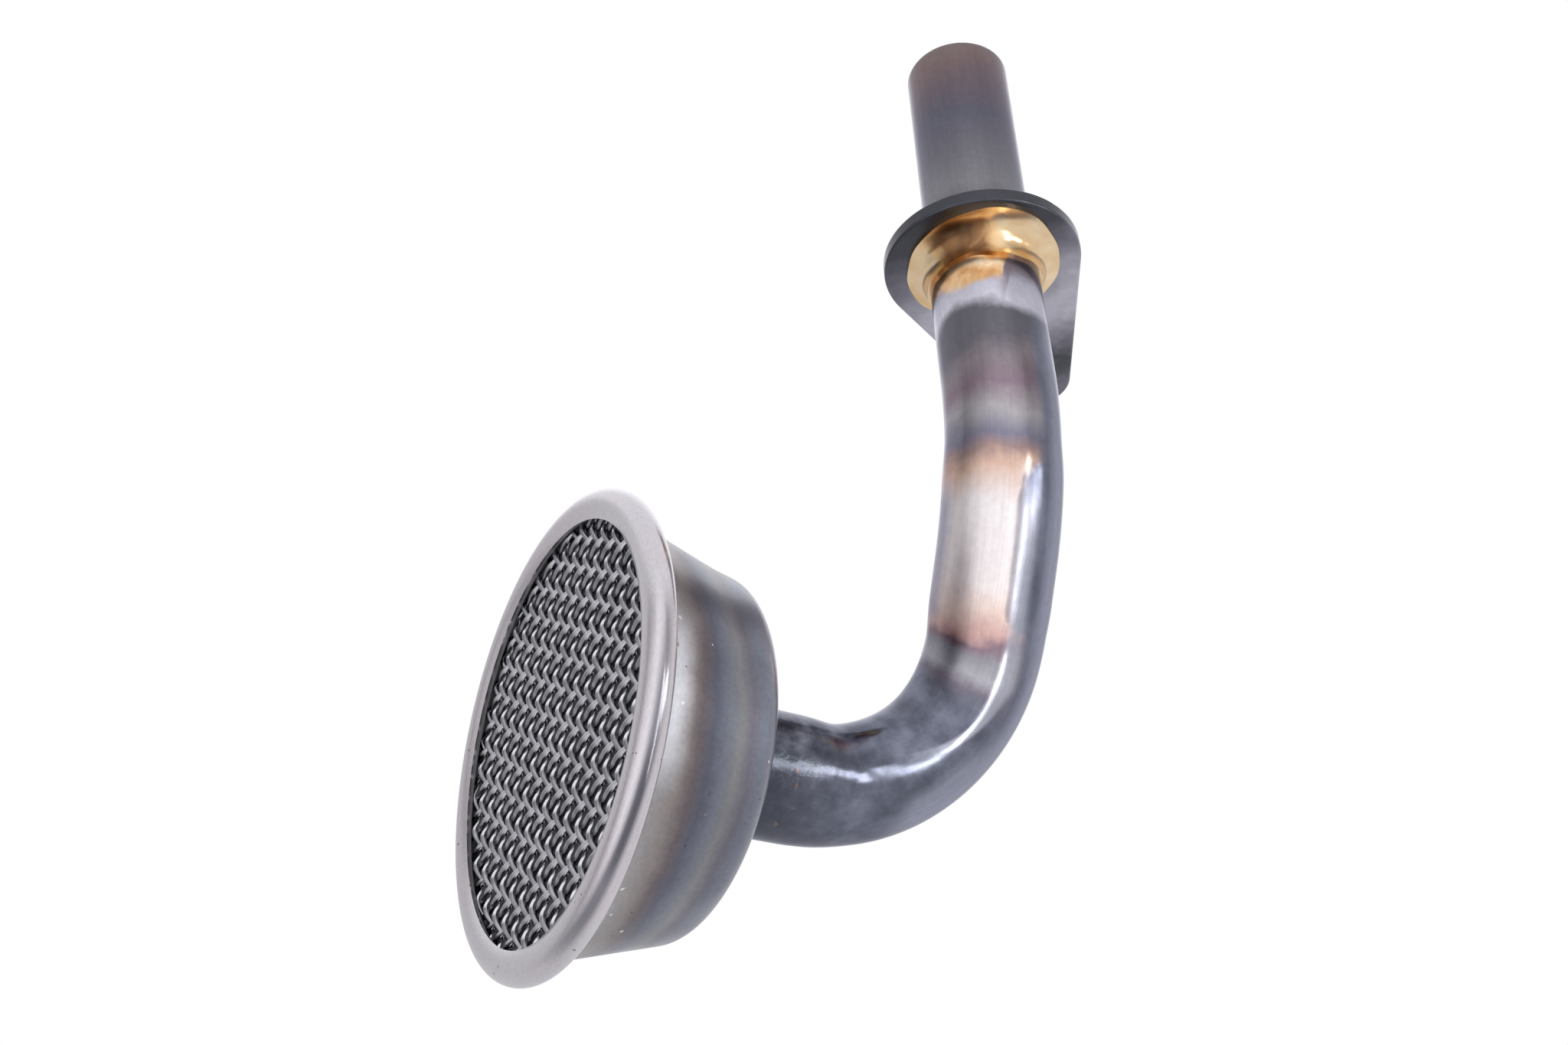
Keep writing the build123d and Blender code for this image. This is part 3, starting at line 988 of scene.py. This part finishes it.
@dataclass
class SuctionTube:
    """The bent tube, with its spigot sized down, its end rounded and its bore open."""

    outer_diameter: float = 18.0
    wall: float = 1.5
    spigot_step: float = 0.25
    end_round: float = 1.0
    side_bend_radius: float = 46.6
    down_bend_radius: float = 24.2
    side_bend_back: float = 41.8
    riser_top: float = 7.7
    pinch: float = 0.8
    pinch_run: float = 84.0
    pinch_length: float = 9.0
    pinch_spread: float = 0.7
    cup_swell: float = 0.55
    cup_swell_runs: Window = ((102.0, 112.0), (120.0, 125.0))
    run_swell: float = 0.3
    run_swell_runs: Window = ((36.0, 44.0), (62.0, 70.0))
    round_stations: int = 7
    spigot_stations: int = 49
    stations: int = 340
    bore_stations: int = 120
    columns: int = 96

    def route(self) -> Route:
        """Lay out the centre line, its ends read from the solids.

        Returns:
            The line from the spigot's end to the tube's end in the cup.
        """
        low, high = in_mm(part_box("suction_tube"))
        cup_low, cup_high = in_mm(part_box("strainer_cup"))
        cup_x, cup_y = (float(value) for value in np.round((cup_low[:2] + cup_high[:2]) / 2, 1))
        start, end = (0.0, float(high[1]), 0.0), (cup_x, cup_y, float(low[2]))
        bends = (0.0, -self.side_bend_back, 0.0), (cup_x, cup_y, self.riser_top)
        return Route((start, *bends, end), (self.side_bend_radius, self.down_bend_radius))

    def build(self) -> Surface:
        """Sweep the wall's closed outline along the route.

        Each ring is centre + radius (side cos t + up sin t). The rings run along the outside from the rounded
        end to the cup, and back through the bore.

        Returns:
            The tube, with its run laid straight and its bore marked for the finish.
        """
        route = self.route()
        length = route.length()
        seat = route.corners[0][1]
        outer = self.outer_diameter / 2
        spigot = outer - self.spigot_step
        round_turn = np.linspace(pi / 2, 0, self.round_stations)
        runs = np.concatenate([
            self.end_round * (1 - np.sin(round_turn)),
            np.linspace(self.end_round, seat, self.spigot_stations + 1)[1:],
            np.linspace(seat, length, self.stations), np.linspace(length, 0, self.bore_stations),
        ])
        radii = np.concatenate([
            spigot - self.end_round * (1 - np.cos(round_turn)), np.full(self.spigot_stations, spigot),
            np.full(self.stations, outer), np.full(self.bore_stations, outer - self.wall),
        ])
        inner = np.concatenate([np.zeros(len(runs) - self.bore_stations), np.ones(self.bore_stations)])
        centre, side, up = route.frames(runs)
        run = runs - seat
        turn = full_turn(self.columns)
        shaped = self.swelling(run)[:, None] - self.drawn_in(run, turn, route)
        reach = radii[:, None] + shaped * (1 - inner[:, None])
        ring = side[:, None] * np.cos(turn)[None, :, None] + up[:, None] * np.sin(turn)[None, :, None]
        points = centre[:, None] + reach[..., None] * ring
        across, upwards = reach * np.cos(turn), reach * np.sin(turn)
        laid = np.stack(np.broadcast_arrays(run[:, None], across, upwards), axis=-1)
        fields = {"laid_straight": laid.reshape(-1, 3), "bore": np.repeat(inner, self.columns)}
        return Surface(points.reshape(-1, 3), [ring_quads(len(runs), self.columns, True)], fields)

    def drawn_in(self, run: Array, turn: Array, route: Route) -> Array:
        """How far the bend's inside is drawn in, a hump of the run times a hump of the angle.

        Args:
            run: Distances along the tube from the seat face.
            turn: Angles round the tube.
            route: The tube's centre line.

        Returns:
            Depths, a row for each distance and a column for each angle.
        """
        along = bell(run - self.pinch_run, self.pinch_length)
        across = bell(apart(turn, self.inside_of_bend(route)), self.pinch_spread)
        return self.pinch * along[:, None] * across[None, :]

    def swelling(self, run: Array) -> Array:
        """How much wider the worked tube is between its bends and before the cup, by smooth steps."""
        before_cup = self.cup_swell * plateau(run, *self.cup_swell_runs)
        return before_cup + self.run_swell * plateau(run, *self.run_swell_runs)

    def inside_of_bend(self, route: Route) -> float:
        """Angle round the tube at which the down bend's inside lies.

        It is the angle of the run into the cup, seen along the run before it, in that run's cross directions.

        Args:
            route: The tube's centre line.

        Returns:
            The angle in radians.
        """
        ways, turns, straights = route.legs()
        _, side, up = route.frames(np.array([straights[0] + self.side_bend_radius * turns[0] + straights[1]]))
        inward = ways[2] - ways[1] * (ways[1] @ ways[2])
        return float(np.arctan2(up[0] @ inward, side[0] @ inward))

    def dress(self) -> Piece:
        """Put the tube in place of its solid.

        Returns:
            The tube.
        """
        piece = self.build().into_blender("tube", HeatTintedTube().material())
        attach(piece, "root")
        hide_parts("suction_tube")
        return piece


@dataclass
class StrainerCup:
    """The drawn cup: one sheet from the tube's hole over back, wall and shelf into rolled rim and lip."""

    sheet: float = 1.0
    rim_diameter: float = 69.08
    rim_height: float = 4.3
    lip_width: float = 4.7
    lip_edge_height: float = 1.46
    shelf_width: float = 3.3
    wall_taper: float = 5.45
    depth: float = 21.6
    back_corner: float = 3.9
    foot_corner: float = 0.5
    tube_radius: float = 9.0
    dent: float = 0.4
    dent_way: float = radians(150)
    dent_spread: float = 0.7
    dent_full: float = 8.0
    dent_end: Pair = (15.0, 20.0)
    lip_trim: float = 0.6
    lip_trim_way: float = radians(45)
    lip_trim_spread: float = 0.8
    lip_points: int = 14
    roll_points: int = 34
    foot_points: int = 7
    wall_points: int = 14
    corner_points: int = 18
    back_points: int = 10
    columns: int = 288

    def centre(self) -> Array:
        """Middle of the rim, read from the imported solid: under its back by the depth."""
        low, high = in_mm(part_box("strainer_cup"))
        return np.round([(low[0] + high[0]) / 2, (low[1] + high[1]) / 2, high[2] - self.depth], 1)

    def outline(self) -> Array:
        """Outer line of the sheet, from the lip's edge to the tube's hole.

        The lip is the arc that leaves the hem level and meets the lip's edge.

        Returns:
            Radii and heights over the rim's middle.
        """
        half, rim = self.rim_height / 2, self.rim_diameter / 2
        hem = rim - half
        mouth = (rim - self.shelf_width, half)
        back = (mouth[0] - self.wall_taper, self.depth)
        hole = np.array([self.tube_radius, self.depth])
        reach, rise = self.lip_width - half, half - self.lip_edge_height
        lip_radius = (reach * reach + rise * rise) / (2 * rise)
        lip_turn = np.degrees(2 * np.arctan2(rise, reach))
        lip = arc_points((hem, lip_radius - half), lip_radius, -90 - lip_turn, -90, self.lip_points)
        roll = arc_points((hem, 0.0), half, -90, 90, self.roll_points)[1:]
        foot = rounded_corner((hem, half), mouth, back, self.foot_corner, self.foot_points)
        shoulder = rounded_corner(mouth, back, hole, self.back_corner, self.corner_points)
        return np.concatenate([lip, roll, straight_points(roll[-1], foot[0], 1), foot,
                               straight_points(foot[-1], shoulder[0], self.wall_points), shoulder,
                               straight_points(shoulder[-1], hole, self.back_points), hole[None]])

    def build(self) -> Surface:
        """Turn the sheet's closed outline about the cup's axis.

        The inner line is the outer one moved by the sheet's thickness along its normal. A point of the
        surface is centre + (radius cos t, radius sin t, height).

        Returns:
            The cup, with the distance along its skin, its inside and its way round for the finish.
        """
        outer = self.outline()
        tangent = unit(np.gradient(outer, axis=0))
        inner = outer + self.sheet * np.stack([-tangent[:, 1], tangent[:, 0]], axis=1)
        skin = np.append(0, np.cumsum(np.linalg.norm(np.diff(outer, axis=0), axis=1)))
        line = np.concatenate([outer, inner[::-1]])
        turn = full_turn(self.columns)
        reach = line[:, :1] + self.worked(line, turn)
        heights = np.broadcast_to(line[:, 1:], reach.shape)
        points = np.stack([reach * np.cos(turn), reach * np.sin(turn), heights], axis=-1) + self.centre()
        around = np.stack([np.cos(turn), np.sin(turn), np.zeros_like(turn)], axis=1) * self.rim_diameter / 2
        fields = {
            "skin": np.repeat(np.concatenate([skin, skin[::-1]]), self.columns),
            "inside": np.repeat([0.0, 1.0], len(outer) * self.columns),
            "around": np.tile(around, (len(line), 1)),
        }
        return Surface(points.reshape(-1, 3), [ring_quads(len(line), self.columns, True)], fields)

    def worked(self, line: Array, turn: Array) -> Array:
        """How far the sheet stands off its plain form: in on one side of the wall, out on one of the lip.

        Each is a hump of the angle times smooth steps of the height over the rim or the nearness to the edge.

        Args:
            line: Radii and heights of the sheet's outline.
            turn: Angles round the cup.

        Returns:
            Distances outwards, a row for each point of the outline and a column for each angle.
        """
        rim, half = self.rim_diameter / 2, self.rim_height / 2
        wall = plateau(line[:, 1], (half, self.dent_full), self.dent_end)
        edge = (1 - smooth_step(line[:, 0], rim - self.lip_width, rim - half)) * (line[:, 1] < 0)
        dented = bell(apart(turn, self.dent_way), self.dent_spread)
        trimmed = bell(apart(turn, self.lip_trim_way), self.lip_trim_spread)
        return self.lip_trim * edge[:, None] * trimmed - self.dent * wall[:, None] * dented

    def dress(self) -> Piece:
        """Put the cup in place of its solid.

        Returns:
            The cup.
        """
        piece = self.build().into_blender("cup", DrawnCupSteel().material())
        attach(piece, "root")
        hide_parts("strainer_cup")
        return piece


@dataclass
class WireCloth:
    """Plain-woven cloth of crimped round wire, held in the rolled rim, its sets crossing over and under."""

    wire: float = 0.90
    first_heading: float = radians(-102.3)
    second_heading: float = radians(-10.1)
    first_spacing: float = 3.10
    second_spacing: float = 3.07
    first_crimp: float = 0.58
    second_crimp: float = 0.21
    second_lift: float = 0.08
    crossing: Pair = (-0.99, 2.42)
    reach: float = 32.1
    calm_zone: Pair = (29.6, 31.0)
    calm_share: float = 0.8
    finish_shift: float = 41.0
    stations: int = 150
    sides: int = 10

    def set_of_wires(self, along: Array, across: Array, spacing: float, beat: float, crimp: float,
                     lift: float) -> Surface:
        """Work out one set of wires as round tubes on waves.

        Wire n's middle line is the crossing + n spacing across + t along, lifted towards the opening by
        lift + crimp cos(pi (t / beat + n)). Its ring at t is wire / 2 (cos s, sin s) on the level direction
        across the wire and on the one that stands on both. The crimp calms down where the rim clamps it.

        Args:
            along: Direction of these wires in the cloth's plane.
            across: Direction of the other set.
            spacing: Distance from wire to wire along the other set.
            beat: Distance between crossings along these wires.
            crimp: Height of the waves.
            lift: How far the set stands towards the opening.

        Returns:
            The wires with their end caps, about the cloth's middle.
        """
        count = int(self.reach / spacing) + 2
        numbers = np.arange(-count, count + 1)
        origins = np.array(self.crossing) + numbers[:, None] * spacing * across
        level = np.array([-along[1], along[0]])
        near = origins @ level
        kept = np.abs(near) < self.reach - self.wire
        numbers, origins, near = numbers[kept], origins[kept], near[kept]
        half = np.sqrt(self.reach ** 2 - near ** 2)
        t = -(origins @ along)[:, None] + half[:, None] * np.linspace(-1, 1, self.stations)[None, :]
        flat = origins[:, None] + t[..., None] * along
        calm = 1 - (1 - self.calm_share) * smooth_step(np.linalg.norm(flat, axis=-1), *self.calm_zone)
        phase = pi * (t / beat + numbers[:, None])
        height = lift + calm * crimp * np.cos(phase)
        slope = -calm * crimp * pi / beat * np.sin(phase)
        s = full_turn(self.sides)
        out_height = 1 / np.sqrt(1 + slope[..., None] ** 2)
        out_flat = -slope[..., None] * out_height
        radius = self.wire / 2
        ring = np.cos(s)[:, None] * level + (out_flat * np.sin(s))[..., None] * along
        plane = flat[:, :, None] + radius * ring
        stand = height[..., None] + radius * out_height * np.sin(s)
        points = np.concatenate([plane, -stand[..., None]], axis=-1)
        per_wire = self.stations * self.sides
        starts = np.arange(len(numbers)) * per_wire
        quads = (ring_quads(self.stations, self.sides, False)[None] + starts[:, None, None]).reshape(-1, 4)
        first_cap = starts[:, None] + np.arange(self.sides)[None, :]
        last_cap = first_cap[:, ::-1] + per_wire - self.sides
        run = t[..., None] + numbers[:, None, None] * self.finish_shift
        laid = np.stack(np.broadcast_arrays(run, np.cos(s), out_flat), axis=-1).reshape(-1, 3)
        return Surface(points.reshape(-1, 3), [quads, first_cap, last_cap], {"along_wire": laid})

    def build(self) -> Surface:
        """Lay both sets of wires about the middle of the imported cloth.

        Returns:
            The cloth, with the run along each wire for the finish.
        """
        low, high = in_mm(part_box("strainer_mesh"))
        first, second = (np.array([cos(heading), sin(heading)])
                         for heading in (self.first_heading, self.second_heading))
        spacings = (self.first_spacing, self.second_spacing)
        warp = self.set_of_wires(first, second, *spacings, self.first_crimp, 0.0)
        weft = self.set_of_wires(second, first, *spacings[::-1], -self.second_crimp, self.second_lift)
        shift = len(warp.points)
        faces = [np.concatenate([block, other + shift]) for block, other in zip(warp.faces, weft.faces)]
        points = np.concatenate([warp.points, weft.points]) + (low + high) / 2
        laid = np.concatenate([warp.fields["along_wire"], weft.fields["along_wire"]])
        return Surface(points, faces, {"along_wire": laid})

    def dress(self) -> Piece:
        """Put the woven wires in place of the ridged wall.

        Returns:
            The cloth.
        """
        piece = self.build().into_blender("wire_cloth", BrightWire().material())
        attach(piece, "root")
        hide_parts("strainer_mesh")
        return piece


@dataclass
class BrassFillet:
    """A fillet of run brass round the tube, on the plate or on the cup's back."""

    name: str
    node: str
    origin: Triple
    heading: Triple
    side: Triple = (1.0, 0.0, 0.0)
    tube_radius: float = 9.0
    width: float = 3.9
    length: float = 5.0
    bead: float = 0.5
    hollow: float = 0.28
    waviness: float = 0.16
    first_wave: tuple[float, float, float, float] = (0.35, 0.30, 0.6, 3.0)
    more_waves: tuple[Triple, ...] = ((0.2, 5.0, 1.1), (0.12, 11.0, 2.0))
    least_swell: float = 0.4
    spread: float = 0.0
    spread_way: float = radians(-152)
    spread_width: float = 0.85
    least: float = 0.05
    sunk: float = 0.02
    columns: int = 160
    rows: int = 26

    def build(self) -> Surface:
        """Carry the fillet's outline round the tube. Its foot may spread further on one side.

        The open face runs from the foot to the top on a curve that is drawn in towards the corner by the
        hollow. Its width and length shrink with waves of the angle t, as middle + height sin^2 (t + start)
        cos (count t), with height sin (count t + start) for each more. The foot and the tube's side close it.

        Returns:
            The fillet.
        """
        turn = full_turn(self.columns)
        middle, height, start, count = self.first_wave
        waves = middle + height * np.sin(turn + start) ** 2 * np.cos(count * turn)
        waves = waves + sum(height * np.sin(count * turn + start) for height, count, start in self.more_waves)
        swell = np.clip(1 - self.waviness * waves, self.least_swell, 1.0)
        share = np.linspace(0, 1, self.rows)[:, None]
        spread = self.spread * bell(apart(turn, self.spread_way), self.spread_width)
        foot_reach = self.bead + (self.width - self.bead) * swell + spread
        top = self.bead + (self.length - self.bead) * swell
        hump = self.hollow * np.minimum(foot_reach, self.length) * 4 * share * (1 - share) * swell
        out = np.maximum(foot_reach * (1 - share) + self.bead * share - hump, self.least) + self.tube_radius
        high = np.maximum(self.bead * (1 - share) + top * share - hump, self.least)
        foot = np.stack([self.tube_radius + foot_reach, np.zeros_like(turn)], axis=-1)
        inner = np.full_like(turn, self.tube_radius - self.sunk)
        close = np.stack([np.stack([inner, top], axis=-1), np.stack([inner, np.zeros_like(turn)], axis=-1)])
        line = np.concatenate([foot[None], np.stack([out, high], axis=-1), close])
        heading, side = np.array(self.heading), np.array(self.side)
        ring = side * np.cos(turn)[:, None] + np.cross(heading, side) * np.sin(turn)[:, None]
        points = np.array(self.origin) + line[..., :1] * ring[None] + line[..., 1:] * heading
        return Surface(points.reshape(-1, 3), [ring_quads(len(line), self.columns, True)])

    def dress(self, finish: Material) -> Piece:
        """Put the run brass in place of its plain ring.

        Args:
            finish: The brass.

        Returns:
            The fillet.
        """
        piece = self.build().into_blender(self.name, finish)
        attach(piece, "root")
        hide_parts(self.node)
        return piece


@dataclass
class MountingPlate:
    """The stamped plate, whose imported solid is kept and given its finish."""

    node: str = "mounting_flange"

    def dress(self) -> Piece:
        """Put the finish in the solid's material slots.

        Returns:
            The plate.
        """
        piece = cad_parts[self.node]
        finish = HeatedPlate().material()
        if not piece.material_slots:
            piece.data.materials.append(finish)
        for place in piece.material_slots:
            place.material = finish
        return piece


@dataclass(frozen=True)
class Patch:
    """A soft round patch of the surroundings, full within one angle of its middle and gone beyond another."""

    way: Triple
    full: float
    gone: float
    level: float


@dataclass(frozen=True)
class Lamp:
    """A soft rectangular lamp in a direction from the part, with its size in metres and its power."""

    name: str
    way: Triple
    distance: float
    size: Pair
    power: float
    mirrored: bool = True


@dataclass
class Studio:
    """Camera, lamps, surroundings and floor."""

    camera_place: Triple = (-174.7, -199.432, -145.561)
    camera_right: Triple = (-0.48984, -0.04304, 0.87075)
    camera_up: Triple = (-0.49937, 0.83255, -0.23977)
    photo_width: int = 2048
    focal_pixels: float = 2350.0
    sensor: float = 36.0
    clip_start: float = 0.01
    floor_depth: float = 0.34
    floor_width: float = 6.0
    lamps: tuple[Lamp, ...] = (
        Lamp("long_strip", (-0.90, -0.33, 0.23), 0.7, (0.56, 0.07), 0.66),
        Lamp("end_strip", (-0.885, -0.15, 0.44), 0.7, (0.17, 0.12), 0.34),
        Lamp("top_strip", (-0.815, -0.04, 0.58), 0.7, (0.13, 0.11), 0.26),
        Lamp("soft_lamp", (-0.45, 0.15, 0.88), 1.0, (0.7, 0.7), 1.6, False),
    )
    sky_tone: Tone = (0.95, 0.95, 1.0, 1.0)
    side_level: float = 0.5
    patches: tuple[Patch, ...] = (
        Patch((0.82, 0.48, -0.30), 20.0, 45.0, 0.68),
        Patch((0.87, -0.35, 0.20), 28.0, 60.0, 0.7),
        Patch((0.0, 1.0, 0.0), 42.0, 62.0, 1.0),
        Patch((-0.78, 0.30, -0.35), 10.0, 40.0, 1.1),
        Patch((-0.667, -0.516, -0.538), 15.0, 90.0, 1.22),
        Patch((0.60, 0.65, 0.45), 18.0, 36.0, 1.2),
        Patch((-0.20, -0.30, 0.93), 35.0, 75.0, 0.85),
    )
    fill_strength: float = 0.75

    def camera(self) -> None:
        """Place the camera by its right and up directions, with a lens of the photo's focal length."""
        right, up = Vector(self.camera_right), Vector(self.camera_up)
        turn = Matrix((right, up, right.cross(up))).transposed().to_4x4()
        data = bpy.data.cameras.new("camera")
        data.sensor_fit = "HORIZONTAL"
        data.sensor_width = self.sensor
        data.lens = self.focal_pixels / self.photo_width * self.sensor
        data.clip_start = self.clip_start
        view = bpy.data.objects.new("camera", data)
        view.matrix_world = Matrix.Translation(Vector(self.camera_place) * MM) @ turn
        bpy.context.scene.collection.objects.link(view)
        bpy.context.scene.camera = view

    def hang(self, lamp: Lamp, middle: Vector) -> None:
        """Hang one lamp and aim it at the part.

        Args:
            lamp: The lamp.
            middle: The part's middle, in metres.
        """
        data = bpy.data.lights.new(lamp.name, "AREA")
        data.shape = "RECTANGLE"
        data.size, data.size_y = lamp.size
        data.energy = lamp.power
        way = Vector(lamp.way).normalized()
        piece = bpy.data.objects.new(lamp.name, data)
        turn = way.to_track_quat("Z", "Y").to_matrix().to_4x4()
        piece.matrix_world = Matrix.Translation(middle + way * lamp.distance) @ turn
        piece.visible_camera = False
        piece.visible_glossy = lamp.mirrored
        bpy.context.scene.collection.objects.link(piece)

    def surroundings(self) -> None:
        """White behind the part for the camera, soft patches of light for reflections, and a plain fill."""
        world = bpy.data.worlds.new("white_tent")
        bpy.context.scene.world = world
        world.use_nodes = True
        nodes = Nodes(world.node_tree)
        ray = nodes.node("ShaderNodeLightPath", {}).outputs
        way = nodes.node("ShaderNodeTexCoord", {}).outputs["Generated"]
        level: Value = self.side_level
        for patch in self.patches:
            aim = {0: way, 1: Vector(patch.way).normalized()}
            near = nodes.node("ShaderNodeVectorMath", aim, operation="DOT_PRODUCT").outputs["Value"]
            share = nodes.span(near, cos(radians(patch.gone)), cos(radians(patch.full)))
            level = nodes.node("ShaderNodeMix", {0: share, 2: level, 3: patch.level}).outputs[0]
        seen, mirrored, fill = (
            nodes.node("ShaderNodeBackground", {"Color": colour, "Strength": strength}).outputs[0]
            for colour, strength in ((WHITE, 1.0), (self.sky_tone, level), (WHITE, self.fill_strength)))
        shiny = nodes.math("MAXIMUM", ray["Is Glossy Ray"], ray["Is Transmission Ray"])
        reflected = nodes.node("ShaderNodeMixShader", {0: shiny, 1: fill, 2: mirrored}).outputs[0]
        final = nodes.node("ShaderNodeMixShader", {0: ray["Is Camera Ray"], 1: reflected, 2: seen}).outputs[0]
        nodes.node("ShaderNodeOutputWorld", {"Surface": final})

    def floor(self, low: Vector) -> None:
        """Lay the pale floor well under the part, out of the camera's view.

        Args:
            low: The low corner of the part's box, in metres.
        """
        half = self.floor_width / 2
        level = low.z - self.floor_depth
        corners = [(x, y, level) for x, y in ((-half, -half), (half, -half), (half, half), (-half, half))]
        mesh = bpy.data.meshes.new("floor")
        mesh.from_pydata(corners, [], [(0, 1, 2, 3)])
        mesh.materials.append(PaleFloor().material())
        floor = bpy.data.objects.new("floor", mesh)
        floor.visible_glossy = False
        bpy.context.scene.collection.objects.link(floor)
        floor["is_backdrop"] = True


def main() -> None:
    """Build and dress each piece of the pipe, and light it."""
    logging.basicConfig(level=logging.INFO, format="%(name)s: %(message)s")
    solids_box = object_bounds()
    flange_low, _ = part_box("mounting_flange")
    cup = StrainerCup()
    cup_x, cup_y, cup_z = cup.centre()
    brass = RunBrass().material()
    flange_braze = BrassFillet("flange_brass", "flange_braze", (0.0, flange_low.y * PER_METRE, 0.0),
                               (0.0, -1.0, 0.0), width=3.6, spread=2.5)
    cup_braze = BrassFillet("cup_brass", "cup_braze", (cup_x, cup_y, cup_z + cup.depth), (0.0, 0.0, 1.0),
                            width=1.8, length=1.8, bead=0.2)
    for piece in (cup.dress(), WireCloth().dress(), SuctionTube().dress(), MountingPlate().dress(),
                  flange_braze.dress(brass), cup_braze.dress(brass)):
        log.info("dressed %s, %d faces", piece.name, len(piece.data.polygons))
    low, high = (Vector(corner) for corner in solids_box)
    studio = Studio()
    studio.camera()
    for lamp in studio.lamps:
        studio.hang(lamp, (low + high) / 2)
    studio.surroundings()
    studio.floor(low)
    bpy.context.scene.view_settings.view_transform = "Standard"


if __name__ == "__main__":
    main()
